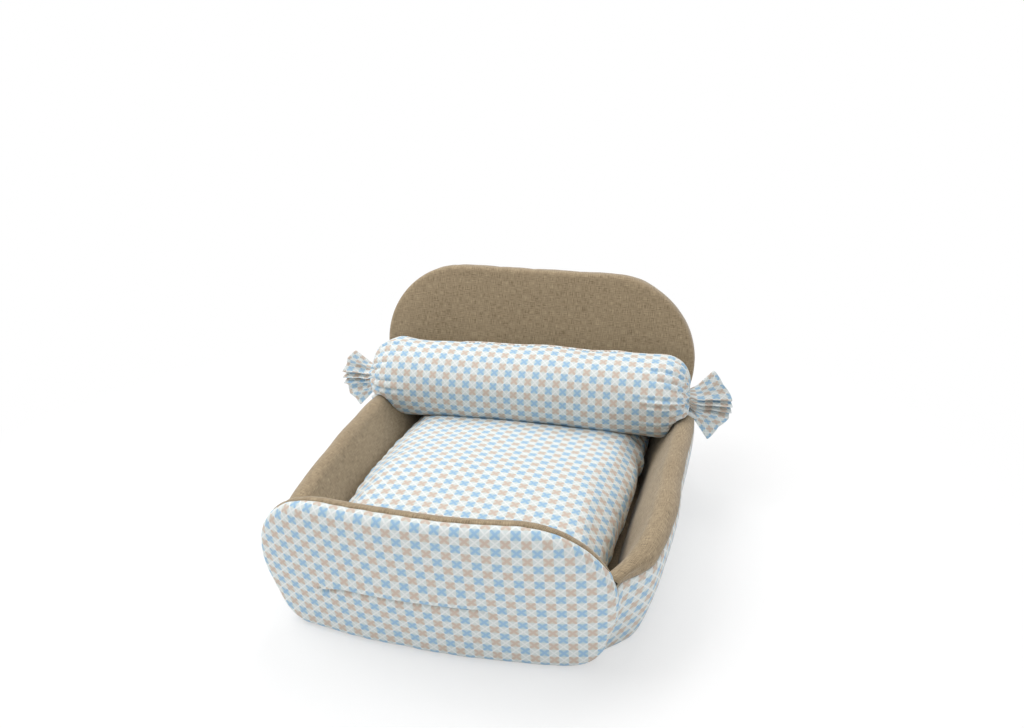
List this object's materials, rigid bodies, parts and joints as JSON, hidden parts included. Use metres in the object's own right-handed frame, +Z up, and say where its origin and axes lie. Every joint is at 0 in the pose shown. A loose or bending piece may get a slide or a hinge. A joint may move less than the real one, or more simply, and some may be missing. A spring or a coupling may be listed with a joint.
{
  "type": "pet bed",
  "caption": "Small padded pet bed with a bowed low front, leaning side walls, a tall back, a loose seat cushion and a loose bolster with gathered ends.",
  "frame": {"origin": "centre of the flat underside, on the floor", "axes": "+Z up, -Y towards the low front panel, +X to the right as seen from the front"},
  "size_m": [0.5852, 0.5677, 0.3005],
  "materials": {
    "check_print": "printed woven cotton, small check in blue, tan and white",
    "linen": "coarse plain linen weave, matte",
    "bottom_cloth": "plain dark woven bottom cloth, matte",
    "foam": "soft open foam, matte",
    "filling": "fibre filling, matte",
    "tie_cord": "round woven elastic, matte",
    "zip_tape": "woven tape, matte",
    "zip_teeth": "moulded, satin",
    "zip_metal": "plated, satin"
  },
  "bodies": {
    "bed": {"bottom_cover": "bottom_cloth", "base_foam": "foam", "floor_lining": "linen", "front_foam": "foam", "front_cover": "check_print", "front_lining": "linen", "back_foam": "foam", "back_cover": "check_print", "back_lining": "linen", "left_foam": "foam", "left_cover": "check_print", "left_lining": "linen", "right_foam": "foam", "right_cover": "check_print", "right_lining": "linen", "front_zip_tapes": "zip_tape", "front_zip_teeth": "zip_teeth", "front_zip_stops": "zip_metal"},
    "front_zip_slider": {"front_zip_slider": "zip_metal"},
    "cushion": {"cushion_cover": "check_print", "cushion_filling": "filling"},
    "bolster": {"bolster_cover": "check_print", "bolster_filling": "filling", "bolster_left_tie": "tie_cord", "bolster_right_tie": "tie_cord", "bolster_zip_tapes": "zip_tape", "bolster_zip_teeth": "zip_teeth", "bolster_zip_stops": "zip_metal"},
    "bolster_zip_slider": {"bolster_zip_slider": "zip_metal"}
  },
  "joints": [
    {"name": "front_zip_travel", "type": "hinge", "parent": "bed", "child": "front_zip_slider", "pos_m": [0, 0.57614, 0.17465], "axis": [0, -0.2079, 0.9781], "range_deg": [0, 11.4]},
    {"name": "cushion_lift", "type": "slide", "parent": "bed", "child": "cushion", "axis": [0, 0, 1], "range_m": [0, 0.3]},
    {"name": "bolster_lift", "type": "slide", "parent": "cushion", "child": "bolster", "axis": [0, 0, 1], "range_m": [0, 0.22]},
    {"name": "bolster_zip_travel", "type": "slide", "parent": "bolster", "child": "bolster_zip_slider", "axis": [1, 0, 0], "range_m": [0, 0.1681]}
  ]
}
